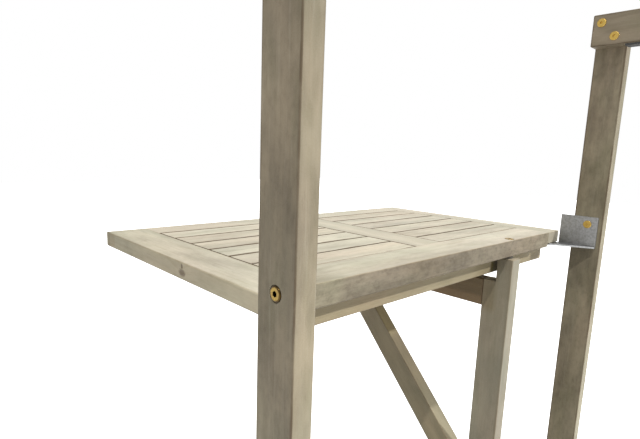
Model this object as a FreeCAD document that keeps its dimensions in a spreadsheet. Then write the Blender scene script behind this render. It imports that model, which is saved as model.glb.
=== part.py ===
import FreeCAD, Part
import Sketcher
import math
import os
import re

# ----------------------------------------------------------------------------
# Balcony railing bar table.
# Frame: origin on the tabletop's upper surface, halfway along its length and
# 201 behind its near edge; +Z up, +X along the tabletop's length, -Y towards
# the railing.  Millimetres.
# Positions in this file are written from the tabletop's near left top corner
# (X to the right, Y away from the railing, Z up); the placements move them to
# the frame above.
# ----------------------------------------------------------------------------

os.makedirs("parts", exist_ok=True)
doc = FreeCAD.newDocument("railing_bar_table")
V = FreeCAD.Vector

# ---- driving dimensions ------------------------------------------------------
DIMS = [
    # tabletop
    ("top_len", 700.0), ("top_dep", 406.0), ("frame_y", 201.0), ("rail_th", 21.8), ("near_th", 27.6),
    ("end_wid", 60.3), ("right_wid", 47.6), ("near_wid", 61.0), ("far_wid", 52.9),
    ("cross_left", 324.2), ("cross_wid", 63.1),
    ("slat_line", 60.1), ("slat_pitch", 48.6), ("slat_gap", 3.2), ("slat_th", 15.0),
    ("slat_endgap", 2.0), ("slat_tight", 0.4), ("tongue_th", 8.0), ("tongue_drop", 4.0), ("tongue_len", 8.0),
    ("groove_dep", 8.5), ("groove_stop", 14.0),
    ("round_big", 1.8), ("round_small", 1.0),
    # underframe
    ("apron_set", 28.0), ("far_set", 31.5), ("apron_th", 21.0), ("apron_low", 59.9), ("far_low", 57.0),
    ("apron_in", 30.0), ("apron_end", 695.0), ("far_in", 66.0),
    ("batten_low", 45.0), ("batten_wid", 21.0),
    # posts and hooks
    ("post_out", 24.6), ("post_th", 22.8), ("post_back", 23.6), ("post_dep", 73.4),
    ("post_top", 380.0), ("post_bot", 600.0),
    ("tbolt_back", 48.5), ("tbolt_up", 18.1),
    ("arm_th", 26.4), ("arm_high", 52.0), ("jaw", 62.0), ("tongue_dep", 40.0), ("hook_long", 130.0),
    ("hpad_th", 3.0), ("hpad_len", 56.0), ("hpad_wid", 22.0),
    ("ppad_th", 5.0), ("ppad_high", 60.0), ("ppad_wid", 18.0), ("ppad_up", 25.0),
    # table brackets
    ("plate_th", 3.0), ("plate_up", 32.0), ("plate_fwd", 66.0), ("plate_reach", 62.0), ("plate_side", 38.8),
    ("plate_step", 9.1), ("plate_nose", 5.0),
    # lower rail
    ("low_top", 537.0), ("low_th", 26.4), ("low_wid", 84.0), ("low_back", 22.0), ("low_bolt", 50.0), ("low_dowel", 36.0),
    # gate
    ("piv_x", 514.9), ("piv_y", 10.2), ("leg_th", 27.4), ("leg_dep", 48.4), ("leg_front", 6.2),
    ("leg_top", 32.3), ("leg_bot", 534.0), ("notch_y", 19.9), ("garm_top", 74.0), ("garm_bot", 121.0),
    ("garm_end", 379.0), ("brace_hi_z", 442.6), ("brace_hi_y", 344.0), ("brace_lo_z", 511.7),
    ("brace_end_z", 152.4),
    ("rest_gap", 0.5), ("stop_gap", 0.6),
    # fasteners
    ("head_rad", 7.0), ("head_th", 1.8), ("seat_rad", 7.8), ("seat_dep", 0.9), ("hex_af", 5.0), ("hex_dep", 5.0),
    ("pin_rad", 4.0), ("run_fit", 0.05), ("bush_rad", 6.0), ("bush_len", 40.0),
    ("bolt_rad", 3.0), ("sleeve_rad", 4.5), ("sleeve_len", 16.0),
    ("dowel_rad", 4.0), ("dowel_half", 20.0),
    ("screw_rad", 2.0), ("screw_head", 4.0),
]
DV = dict(DIMS)
sheet = doc.addObject("Spreadsheet::Sheet", "Dims")
sheet.Label = "Dims"
sheet.set("A1", "Dimension (mm)")
sheet.set("B1", "Value")
for i, (name, val) in enumerate(DIMS, start=2):
    sheet.set("A%d" % i, name)
    sheet.set("B%d" % i, "%g" % val)
    sheet.setAlias("B%d" % i, name)
doc.recompute()
D = dict((n, float(sheet.get(n))) for n, _ in DIMS)

WORD = re.compile(r"[a-z][a-z_]+")


def ex(s):
    """Spreadsheet expression from a formula written with the bare dimension names."""
    return WORD.sub(lambda m: "Dims." + m.group(0) if m.group(0) in D else m.group(0), str(s))


def val(s):
    """The number that a formula comes to: the same arithmetic, worked out here."""
    toks = re.findall(r"[a-z][a-z_]+|\d+\.?\d*|[-+*/()]", str(s))
    pos = [0]

    def factor():
        t = toks[pos[0]]
        pos[0] += 1
        if t == "(":
            v = total()
            pos[0] += 1
            return v
        if t == "-":
            return -factor()
        if t == "+":
            return factor()
        return D[t] if t in D else float(t)

    def product():
        v = factor()
        while pos[0] < len(toks) and toks[pos[0]] in "*/":
            op = toks[pos[0]]
            pos[0] += 1
            w = factor()
            v = v * w if op == "*" else v / w
        return v

    def total():
        v = product()
        while pos[0] < len(toks) and toks[pos[0]] in "+-":
            op = toks[pos[0]]
            pos[0] += 1
            w = product()
            v = v + w if op == "+" else v - w
        return v

    return total()


SUBPARTS = []          # every object that is written out, in order


def keep(obj, label):
    obj.Label = label
    SUBPARTS.append(obj)
    return obj


def place(obj, x, y, z, rot=None):
    """Put a sub-part's own origin at (x, y, z), given from the near left top corner."""
    fx, fy = "(%s)-top_len/2" % x, "(%s)-frame_y" % y
    r = rot or FreeCAD.Rotation()
    obj.Placement = FreeCAD.Placement(V(val(fx), val(fy), val(z)), r)
    obj.setExpression("Placement.Base.x", ex(fx))
    obj.setExpression("Placement.Base.y", ex(fy))
    obj.setExpression("Placement.Base.z", ex(z))


def origin_plane(body, role):
    for f in body.Origin.OriginFeatures:
        if f.Role == role:
            return f
    raise RuntimeError("no plane " + role)


def sketch_on(body, name, role, cx="0", cy="0", cz="0"):
    """Empty sketch parallel to an origin plane, its own origin at (cx, cy, cz) of the body."""
    sk = body.newObject("Sketcher::SketchObject", name)
    sk.AttachmentSupport = [(origin_plane(body, role), "")]
    sk.MapMode = "FlatFace"
    if role == "XY_Plane":
        off = (cx, cy, cz)
    elif role == "XZ_Plane":
        off = (cx, cz, "-(%s)" % cy)
    else:
        off = (cy, cz, cx)
    sk.AttachmentOffset = FreeCAD.Placement(V(*[val(o) for o in off]), FreeCAD.Rotation())
    for a, o in zip("xyz", off):
        if str(o) != "0":
            sk.setExpression("AttachmentOffset.Base." + a, ex(o))
    return sk


def rect(sk, w, d):
    """Rectangle centred on the sketch's origin."""
    a, b = val(w) / 2, val(d) / 2
    p = [V(-a, -b, 0), V(a, -b, 0), V(a, b, 0), V(-a, b, 0)]
    for i in range(4):
        sk.addGeometry(Part.LineSegment(p[i], p[(i + 1) % 4]), False)
    con = Sketcher.Constraint
    for i in range(4):
        sk.addConstraint(con("Coincident", i, 2, (i + 1) % 4, 1))
    sk.addConstraint([con("Horizontal", 0), con("Vertical", 1), con("Horizontal", 2), con("Vertical", 3)])
    sk.addConstraint(con("Symmetric", 0, 1, 1, 2, -1, 1))
    i = sk.addConstraint(con("DistanceX", 0, 1, 0, 2, 2 * a))
    sk.renameConstraint(i, "wide")
    j = sk.addConstraint(con("DistanceY", 1, 1, 1, 2, 2 * b))
    sk.renameConstraint(j, "high")
    sk.setExpression("Constraints.wide", ex(w))
    sk.setExpression("Constraints.high", ex(d))


def circle(sk, r):
    sk.addGeometry(Part.Circle(V(0, 0, 0), V(0, 0, 1), val(r)), False)
    sk.addConstraint(Sketcher.Constraint("Coincident", 0, 3, -1, 1))
    i = sk.addConstraint(Sketcher.Constraint("Radius", 0, val(r)))
    sk.renameConstraint(i, "radius")
    sk.setExpression("Constraints.radius", ex(r))


def polygon(sk, pts):
    """Closed outline through points whose two coordinates are positive formulas."""
    q = [V(val(a), val(b), 0) for a, b in pts]
    n = len(q)
    con = Sketcher.Constraint
    for i in range(n):
        sk.addGeometry(Part.LineSegment(q[i], q[(i + 1) % n]), False)
    for i in range(n):
        sk.addConstraint(con("Coincident", i, 2, (i + 1) % n, 1))
    for i, (a, b) in enumerate(pts):
        j = sk.addConstraint(con("DistanceX", -1, 1, i, 1, q[i].x))
        sk.renameConstraint(j, "px%d" % i)
        k = sk.addConstraint(con("DistanceY", -1, 1, i, 1, q[i].y))
        sk.renameConstraint(k, "py%d" % i)
        sk.setExpression("Constraints.px%d" % i, ex(a))
        sk.setExpression("Constraints.py%d" % i, ex(b))


def pad(body, sk, name, length):
    f = body.newObject("PartDesign::Pad", name)
    f.Profile = sk
    f.Length = val(length)
    f.Midplane = True
    f.setExpression("Length", ex(length))
    sk.Visibility = False
    doc.recompute()
    return f


def pocket(body, sk, name, length, least):
    """Pocket half each way from its sketch; it has to take away at least the volume given."""
    before = body.Shape.Volume
    f = body.newObject("PartDesign::Pocket", name)
    f.Profile = sk
    f.Length = val(length)
    f.Midplane = True
    f.setExpression("Length", ex(length))
    doc.recompute()
    gone = before - body.Shape.Volume
    if gone < least:
        raise RuntimeError("%s/%s takes away only %.1f of %.1f mm3" % (body.Label, name, gone, least))
    return f


def fillet(body, name, radius, pick):
    """Round the edges of the body's tip that pick(midpoint, direction) accepts."""
    tip = body.Tip
    names = []
    for i, e in enumerate(tip.Shape.Edges, start=1):
        a, b = e.Vertexes[0].Point, e.Vertexes[-1].Point
        d = (b - a)
        if d.Length < 1e-6:
            continue
        d.normalize()
        if pick((a + b) * 0.5, d):
            names.append("Edge%d" % i)
    if not names:
        raise RuntimeError("no edge to round on " + body.Label)
    f = body.newObject("PartDesign::Fillet", name)
    f.Base = (tip, names)
    f.Radius = val(radius)
    f.setExpression("Radius", ex(radius))
    doc.recompute()
    return f


def along(axis):
    k = "xyz".index(axis)
    return lambda m, d: abs(d[k]) > 0.999


def every(m, d):
    return True


class Board:
    """A squared board between six planes, its own origin at its centre."""

    def __init__(self, label, x0, x1, y0, y1, z0, z1, rounding=None, radius="round_big"):
        self.c = ["((%s)+(%s))/2" % p for p in ((x0, x1), (y0, y1), (z0, z1))]
        self.s = ["(%s)-(%s)" % p for p in ((x1, x0), (y1, y0), (z1, z0))]
        b = doc.addObject("PartDesign::Body", label)
        b.Label = label
        self.body = b
        self.label = label
        sk = sketch_on(b, label + "_outline", "XY_Plane")
        rect(sk, self.s[0], self.s[1])
        pad(b, sk, label + "_stock", self.s[2])
        want = val(self.s[0]) * val(self.s[1]) * val(self.s[2])
        if abs(b.Shape.Volume - want) > 1:
            raise RuntimeError("stock of %s is %.1f, not %.1f" % (label, b.Shape.Volume, want))
        if rounding:
            fillet(b, label + "_eased", radius, rounding)
        place(b, *self.c)
        keep(b, label)
        self.n = 0

    def loc(self, x, y, z):
        return ["(%s)-(%s)" % (a, c) for a, c in zip((x, y, z), self.c)]

    def cut_box(self, x0, x1, y0, y1, z0, z1, share=0.2):
        self.n += 1
        mid = self.loc("((%s)+(%s))/2" % (x0, x1), "((%s)+(%s))/2" % (y0, y1), "((%s)+(%s))/2" % (z0, z1))
        sk = sketch_on(self.body, "%s_cut%d_outline" % (self.label, self.n), "XY_Plane", *mid)
        w, d, t = "(%s)-(%s)" % (x1, x0), "(%s)-(%s)" % (y1, y0), "(%s)-(%s)" % (z1, z0)
        rect(sk, w, d)
        pocket(self.body, sk, "%s_cut%d" % (self.label, self.n), t, share * val(w) * val(d) * val(t))

    def cut_hole(self, axis, x, y, z, r, length, share=0.3):
        self.n += 1
        role = {"x": "YZ_Plane", "y": "XZ_Plane", "z": "XY_Plane"}[axis]
        sk = sketch_on(self.body, "%s_bore%d_outline" % (self.label, self.n), role, *self.loc(x, y, z))
        circle(sk, r)
        pocket(self.body, sk, "%s_bore%d" % (self.label, self.n), length,
               share * math.pi * val(r) ** 2 * val(length))

    def add_box(self, x0, x1, y0, y1, z0, z1):
        self.n += 1
        mid = self.loc("((%s)+(%s))/2" % (x0, x1), "((%s)+(%s))/2" % (y0, y1), "((%s)+(%s))/2" % (z0, z1))
        sk = sketch_on(self.body, "%s_add%d_outline" % (self.label, self.n), "XY_Plane", *mid)
        rect(sk, "(%s)-(%s)" % (x1, x0), "(%s)-(%s)" % (y1, y0))
        before = self.body.Shape.Volume
        pad(self.body, sk, "%s_add%d" % (self.label, self.n), "(%s)-(%s)" % (z1, z0))
        if self.body.Shape.Volume <= before:
            raise RuntimeError("nothing added to " + self.label)


GZ0, GZ1 = "-(tongue_drop+tongue_th)-0.1", "-tongue_drop+0.1"        # groove's floor and roof
TZ0, TZ1 = "-(tongue_drop+tongue_th)", "-tongue_drop"                # tongue

# ---- tabletop frame ----------------------------------------------------------
# The end rails run the whole depth; near, far and cross rail are stub tenoned
# into the grooves on the inner edges.
end_l = Board("end_rail_left", "0", "end_wid", "0", "top_dep", "-rail_th", "0",
              lambda m, d: m.x < -1 and abs(d.x) < 0.01 or abs(m.y) > 190 and abs(d.x) > 0.99)
end_l.cut_box("end_wid-groove_dep", "end_wid+1", "groove_stop", "top_dep-groove_stop", GZ0, GZ1)
end_r = Board("end_rail_right", "top_len-right_wid", "top_len", "0", "top_dep", "-rail_th", "0",
              lambda m, d: m.x > 1 and abs(d.x) < 0.01 or abs(m.y) > 190 and abs(d.x) > 0.99)
end_r.cut_box("top_len-right_wid-1", "top_len-right_wid+groove_dep", "groove_stop", "top_dep-groove_stop", GZ0, GZ1)

near = Board("near_rail", "end_wid", "top_len-right_wid", "0", "near_wid", "-near_th", "0",
             lambda m, d: abs(d.x) > 0.99 and m.y < 0)
near.add_box("end_wid-tongue_len", "end_wid+2", "groove_stop+0.2", "near_wid-2", TZ0, TZ1)
near.add_box("top_len-right_wid-2", "top_len-right_wid+tongue_len", "groove_stop+0.2", "near_wid-2", TZ0, TZ1)
near.cut_box("cross_left+6-0.2", "cross_left+cross_wid-6+0.2", "near_wid-groove_dep", "near_wid+1", GZ0, GZ1)

far = Board("far_rail", "end_wid", "top_len-right_wid", "top_dep-far_wid", "top_dep", "-rail_th", "0",
            lambda m, d: abs(d.x) > 0.99 and m.y > 0)
far.add_box("end_wid-tongue_len", "end_wid+2", "top_dep-far_wid+2", "top_dep-groove_stop-0.2", TZ0, TZ1)
far.add_box("top_len-right_wid-2", "top_len-right_wid+tongue_len", "top_dep-far_wid+2", "top_dep-groove_stop-0.2", TZ0, TZ1)
far.cut_box("cross_left+6-0.2", "cross_left+cross_wid-6+0.2", "top_dep-far_wid-1", "top_dep-far_wid+groove_dep", GZ0, GZ1)

cross = Board("cross_rail", "cross_left", "cross_left+cross_wid", "near_wid", "top_dep-far_wid", "-rail_th", "0")
cross.add_box("cross_left+6", "cross_left+cross_wid-6", "near_wid-tongue_len", "near_wid+2", TZ0, TZ1)
cross.add_box("cross_left+6", "cross_left+cross_wid-6", "top_dep-far_wid-2", "top_dep-far_wid+tongue_len", TZ0, TZ1)
cross.cut_box("cross_left-1", "cross_left+groove_dep", "near_wid+1", "top_dep-far_wid-1", GZ0, GZ1)
cross.cut_box("cross_left+cross_wid-groove_dep", "cross_left+cross_wid+1", "near_wid+1", "top_dep-far_wid-1", GZ0, GZ1)

# ---- slats: tongues at both ends sit in the grooves, with an open gap all round
for side in ("left", "right"):
    if side == "left":
        sx0, sx1 = "end_wid+slat_endgap", "cross_left-slat_endgap"
    else:
        sx0, sx1 = "cross_left+cross_wid+slat_endgap", "top_len-right_wid-slat_tight"
    for k in range(6):
        y0 = "slat_line+%d*slat_pitch+slat_gap/2" % k
        y1 = "slat_line+%d*slat_pitch-slat_gap/2" % (k + 1)
        s = Board("slat_%s_%d" % (side, k + 1), sx0, sx1, y0, y1, "-slat_th", "0",
                  lambda m, d: abs(d.z) < 0.01 and m.z > 0, "round_small")
        s.add_box("(%s)-slat_endgap-tongue_len" % sx0, "(%s)+3" % sx0, "(%s)+4" % y0, "(%s)-4" % y1, TZ0, TZ1)
        far_gap = "slat_endgap" if side == "left" else "slat_tight"
        s.add_box("(%s)-3" % sx1, "(%s)+%s+tongue_len" % (sx1, far_gap), "(%s)+4" % y0, "(%s)-4" % y1, TZ0, TZ1)

# ---- underframe ----------------------------------------------------------------
ap_n = Board("apron_near", "apron_in", "apron_end", "apron_set", "apron_set+apron_th", "-apron_low", "-near_th",
             lambda m, d: abs(d.x) > 0.99 and m.z < 0)
ap_f = Board("apron_far", "far_in", "top_len-far_in", "top_dep-far_set-apron_th", "top_dep-far_set",
             "-far_low", "-rail_th", lambda m, d: abs(d.x) > 0.99 and m.z < 0)
bat_l = Board("batten_left", "end_wid-batten_wid", "end_wid", "apron_set+apron_th", "top_dep-far_set", "-batten_low", "-rail_th",
              lambda m, d: abs(d.y) > 0.99 and m.z < 0)
bat_r = Board("batten_right", "top_len-right_wid", "top_len-right_wid+batten_wid", "plate_reach+4", "top_dep-far_set",
              "-batten_low", "-rail_th", lambda m, d: abs(d.y) > 0.99 and m.z < 0)
bat_m = Board("batten_middle", "cross_left+cross_wid/2-batten_wid/2", "cross_left+cross_wid/2+batten_wid/2",
              "apron_set+apron_th", "top_dep-far_set-apron_th", "-batten_low", "-rail_th",
              lambda m, d: abs(d.y) > 0.99 and m.z < 0)
bat_m.cut_box("cross_left+cross_wid/2-batten_wid", "cross_left+cross_wid/2+batten_wid",
              "apron_set+apron_th-5", "near_wid+0.2", "-near_th-0.1", "-rail_th+5", 0.1)

# ---- posts and railing hooks -----------------------------------------------------
POST = {}
for side, m in (("left", 1), ("right", -1)):
    def mx(s, m=m):
        return s if m > 0 else "top_len-(%s)" % s

    def span(a, b, m=m):
        return (mx(a), mx(b)) if m > 0 else (mx(b), mx(a))

    px0, px1 = span("-post_out", "post_th-post_out")
    post = Board("post_%s" % side, px0, px1, "-post_dep", "-post_back", "-post_bot", "post_top", every)
    ax0, ax1 = span("post_th-post_out", "post_th-post_out+arm_th")
    arm = Board("hook_arm_%s" % side, ax0, ax1, "-(post_dep+jaw+tongue_dep)", "-post_back", "post_top-arm_high", "post_top", every)
    ton = Board("hook_tongue_%s" % side, px0, px1, "-(post_dep+jaw+tongue_dep)", "-(post_dep+jaw)",
                "post_top-hook_long", "post_top", every)
    # table bolt: through the post along X, its head half let in on the outer face
    bx = mx("post_th/2-post_out")
    post.cut_hole("x", bx, "-tbolt_back", "tbolt_up", "pin_rad+run_fit", "post_th+2")
    post.cut_hole("x", mx("-post_out"), "-tbolt_back", "tbolt_up", "seat_rad", "2*seat_dep")
    # hook bolts
    for (hy, hz) in (("-(post_back+14)", "post_top-14"), ("-(post_dep-14)", "post_top-arm_high+14")):
        post.cut_hole("x", bx, hy, hz, "sleeve_rad+run_fit", "post_th+2")
        post.cut_hole("x", mx("-post_out"), hy, hz, "seat_rad", "2*seat_dep")
        arm.cut_hole("x", mx("post_th-post_out+arm_th/2"), hy, hz, "bolt_rad+run_fit", "arm_th+2")
    for (hy, hz) in (("-(post_dep+jaw+14)", "post_top-14"), ("-(post_dep+jaw+tongue_dep-14)", "post_top-arm_high+14")):
        ton.cut_hole("x", bx, hy, hz, "sleeve_rad+run_fit", "post_th+2")
        ton.cut_hole("x", mx("-post_out"), hy, hz, "seat_rad", "2*seat_dep")
        arm.cut_hole("x", mx("post_th-post_out+arm_th/2"), hy, hz, "bolt_rad+run_fit", "arm_th+2")
    # lower rail bolt and dowel
    lz = "-(low_top+low_th/2)"
    post.cut_hole("x", bx, "-low_bolt", lz, "bolt_rad+run_fit", "post_th+2")
    post.cut_hole("x", mx("-post_out"), "-low_bolt", lz, "seat_rad", "2*seat_dep")
    post.cut_hole("x", mx("post_th-post_out"), "-low_dowel", lz, "dowel_rad+run_fit", "2*15.2")
    POST[side] = (post, arm, ton, mx, span)

# ---- lower rail -------------------------------------------------------------------
low = Board("lower_rail", "post_th-post_out", "top_len-(post_th-post_out)", "low_back-low_wid", "low_back",
            "-(low_top+low_th)", "-low_top", lambda m, d: abs(d.x) > 0.99)
for side in ("left", "right"):
    mx = POST[side][3]
    lz = "-(low_top+low_th/2)"
    low.cut_hole("x", mx("post_th-post_out+24"), "-low_bolt", lz, "bolt_rad+run_fit", "50")
    low.cut_hole("z", mx("post_th-post_out+34"), "-low_bolt", lz, "5+run_fit", "low_th+2")
    low.cut_hole("x", mx("post_th-post_out"), "-low_dowel", lz, "dowel_rad+run_fit", "2*25.2")
low.cut_hole("z", "piv_x", "piv_y", "-(low_top+low_th/2)", "pin_rad+run_fit", "low_th+2")
low.cut_hole("z", "piv_x", "piv_y", "-(low_top+low_th)", "seat_rad", "2*seat_dep")

# upper pivot hole in the near rail, with a shallow seat for the brass head
near.cut_hole("z", "piv_x", "piv_y", "-near_th/2", "pin_rad+run_fit", "near_th+2")
near.cut_hole("z", "piv_x", "piv_y", "0", "seat_rad", "2*seat_dep")

# ---- gate: leg, arm, brace ---------------------------------------------------------
gx0, gx1 = "piv_x-leg_th/2", "piv_x+leg_th/2"
leg = Board("gate_leg", gx0, gx1, "-leg_front", "leg_dep-leg_front", "-leg_bot", "-leg_top", every)
leg.cut_box("piv_x-leg_th", "piv_x+leg_th", "notch_y", "leg_dep-leg_front+10", "-garm_top", "-leg_top+10")
leg.cut_hole("z", "piv_x", "piv_y", "-leg_top", "bush_rad+run_fit", "2*(bush_len+0.2)")
leg.cut_hole("z", "piv_x", "piv_y", "-leg_bot", "bush_rad+run_fit", "2*(bush_len+0.2)")
garm = Board("gate_arm", gx0, gx1, "leg_dep-leg_front", "garm_end", "-garm_bot", "-garm_top",
             lambda m, d: abs(d.y) > 0.99 or m.y > 100)

brace = doc.addObject("PartDesign::Body", "gate_brace")
brace.Label = "gate_brace"
sk = sketch_on(brace, "gate_brace_outline", "YZ_Plane")
OY, OZ = "(leg_dep-leg_front-10)", "(-brace_lo_z-10)"      # own origin: 10 mm outside the lower corner
polygon(sk, [
    ("10", "10"),
    ("garm_end-%s" % OY, "-brace_end_z-%s" % OZ),
    ("garm_end-%s" % OY, "-garm_bot-%s" % OZ),
    ("brace_hi_y-%s" % OY, "-garm_bot-%s" % OZ),
    ("10", "-brace_hi_z-%s" % OZ),
])
pad(brace, sk, "gate_brace_stock", "leg_th")
fillet(brace, "gate_brace_eased", "round_big",
       lambda m, d: abs(d.x) < 0.01 and abs(d.y) > 0.3 and abs(d.z) > 0.3)
place(brace, "piv_x", OY, OZ)
keep(brace, "gate_brace")
brace_c = ("piv_x", OY, OZ)


def brace_hole(n, y, z, ay, az, length):
    """Dowel hole in the brace along +Y or +Z, centred at (y, z)."""
    loc = ["(%s)-(%s)" % (a, c) for a, c in zip(("piv_x", y, z), brace_c)]
    role = "XZ_Plane" if ay else "XY_Plane"
    s = sketch_on(brace, "gate_brace_bore%d_outline" % n, role, *loc)
    circle(s, "dowel_rad+run_fit")
    pocket(brace, s, "gate_brace_bore%d" % n, length, 0.3 * math.pi * 16 * val(length))


LB = "leg_dep-leg_front"
# dowels: (axis, y, z); each is 2*dowel_half long, half in each piece
DOW_ARM = [("y", LB, "-garm_top-14"), ("y", LB, "-garm_bot+14")]
DOW_BR1 = [("y", LB, "-brace_hi_z-22"), ("y", LB, "-brace_lo_z+22")]
DOW_BR2 = [("z", "brace_hi_y+8", "-garm_bot"), ("z", "garm_end-9", "-garm_bot")]
for a, y, z in DOW_ARM:
    leg.cut_hole("y", "piv_x", y, z, "dowel_rad+run_fit", "2*(dowel_half+0.3)")
    garm.cut_hole("y", "piv_x", y, z, "dowel_rad+run_fit", "2*(dowel_half+0.3)")
for i, (a, y, z) in enumerate(DOW_BR1):
    leg.cut_hole("y", "piv_x", y, z, "dowel_rad+run_fit", "2*(dowel_half+0.3)")
    brace_hole(i + 1, y, z, 1, 0, "2*(dowel_half+0.3)")
for i, (a, y, z) in enumerate(DOW_BR2):
    garm.cut_hole("z", "piv_x", y, z, "dowel_rad+run_fit", "2*(dowel_half+0.3)")
    brace_hole(i + 3, y, z, 0, 1, "2*(dowel_half+0.3)")

# rest block (the arm carries the far apron through it) and stop block
rest = Board("gate_rest_block", "piv_x-45", "piv_x+leg_th/2", "top_dep-far_set-apron_th", "top_dep-far_set",
             "-garm_top+rest_gap", "-far_low", lambda m, d: abs(d.y) > 0.99 and m.z < 0)
stop = Board("gate_stop_block", "piv_x+leg_th/2+stop_gap", "piv_x+leg_th/2+stop_gap+22",
             "top_dep-far_set-apron_th", "top_dep-far_set", "-garm_top-20", "-far_low", along("z"))

# ---- steel table brackets -------------------------------------------------------------
# One wing lies under the end rail, the other stands on the post's inner face.
BR = {}
for side in ("left", "right"):
    mx = POST[side][3]
    b = doc.addObject("PartDesign::Body", "table_bracket_%s" % side)
    b.Label = "table_bracket_%s" % side
    sk = sketch_on(b, "table_bracket_%s_plan" % side, "XY_Plane")
    w = "plate_side-(post_th-post_out)"
    pts = [("10", "10"), ("10+plate_nose", "10"), ("10+%s" % w, "10+plate_fwd"),
           ("10+%s" % w, "10+plate_fwd+plate_reach"), ("10+plate_step", "10+plate_fwd+plate_reach"),
           ("10+plate_step", "10+plate_fwd-2"), ("10", "10+plate_fwd-2")]
    if side == "right":
        pts = [("10+(%s)-(%s)+10" % (w, p[0]), p[1]) for p in pts][::-1]
    polygon(sk, pts)
    pad(b, sk, "table_bracket_%s_wing" % side, "plate_th")
    # upright wing
    cx = "10+plate_th/2" if side == "left" else "10+(%s)-plate_th/2" % w
    s2 = sketch_on(b, "table_bracket_%s_up" % side, "XY_Plane", cx, "10+(plate_fwd-2)/2", "(plate_up+rail_th)/2+plate_th/2")
    rect(s2, "plate_th", "plate_fwd-2")
    pad(b, s2, "table_bracket_%s_upright" % side, "plate_up+rail_th")
    # bolt hole in the upright, screw holes in the wing
    s3 = sketch_on(b, "table_bracket_%s_bolt" % side, "YZ_Plane", cx,
                   "10+plate_fwd-tbolt_back", "rail_th+plate_th/2+tbolt_up")
    circle(s3, "bolt_rad+run_fit")
    pocket(b, s3, "table_bracket_%s_bolthole" % side, "plate_th+4", 50)
    for i, (hx, hy) in enumerate((("24", "13"), ("24", "32"), ("24", "51"))):
        hxl = "10+%s" % hx if side == "left" else "10+(%s)-%s" % (w, hx)
        s4 = sketch_on(b, "table_bracket_%s_s%d" % (side, i), "XY_Plane", hxl, "10+plate_fwd+%s" % hy, "0")
        circle(s4, "screw_rad+0.15")
        pocket(b, s4, "table_bracket_%s_screwhole%d" % (side, i), "plate_th+4", 20)
    ox = "post_th-post_out-10" if side == "left" else "top_len-plate_side-10"
    place(b, ox, "-plate_fwd-10", "-rail_th-plate_th/2")
    keep(b, "table_bracket_%s" % side)
    er = end_l if side == "left" else end_r
    BR[side] = []
    for hx, hy in (("24", "13"), ("24", "32"), ("24", "51")):
        X = mx("post_th-post_out+%s" % hx)
        er.cut_hole("z", X, hy, "-rail_th+7", "screw_rad+run_fit", "2*8", 0.3)
        BR[side].append((X, hy))

# ---- rubber pads --------------------------------------------------------------------
def pad_group(label, boxes):
    """Closed rubber pads with rounded corners, one node."""
    sh = []
    for (x0, x1, y0, y1, z0, z1, r) in boxes:
        v = [val(q) for q in (x0, x1, y0, y1, z0, z1)]
        bx = Part.makeBox(v[1] - v[0], v[3] - v[2], v[5] - v[4], V(v[0], v[2], v[4]))
        sh.append(bx.makeFillet(r, bx.Edges))
    o = doc.addObject("Part::Feature", label)
    o.Shape = Part.makeCompound(sh)
    o.Placement = FreeCAD.Placement(V(-D["top_len"] / 2, -D["frame_y"], 0), FreeCAD.Rotation())
    keep(o, label)


boxes = []
for side in ("left", "right"):
    mx, span = POST[side][3], POST[side][4]
    a, b_ = span("post_th-post_out+(arm_th-hpad_wid)/2", "post_th-post_out+(arm_th+hpad_wid)/2")
    boxes.append((a, b_, "-(post_dep+jaw/2+hpad_len/2)", "-(post_dep+jaw/2-hpad_len/2)",
                  "post_top-arm_high-hpad_th", "post_top-arm_high", 0.8))
pad_group("hook_pads", boxes)
boxes = []
for side in ("left", "right"):
    mx, span = POST[side][3], POST[side][4]
    a, b_ = span("-post_out+(post_th-ppad_wid)/2", "-post_out+(post_th+ppad_wid)/2")
    boxes.append((a, b_, "-post_dep-ppad_th", "-post_dep", "-post_bot+ppad_up", "-post_bot+ppad_up+ppad_high", 1.2))
pad_group("post_pads", boxes)


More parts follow.
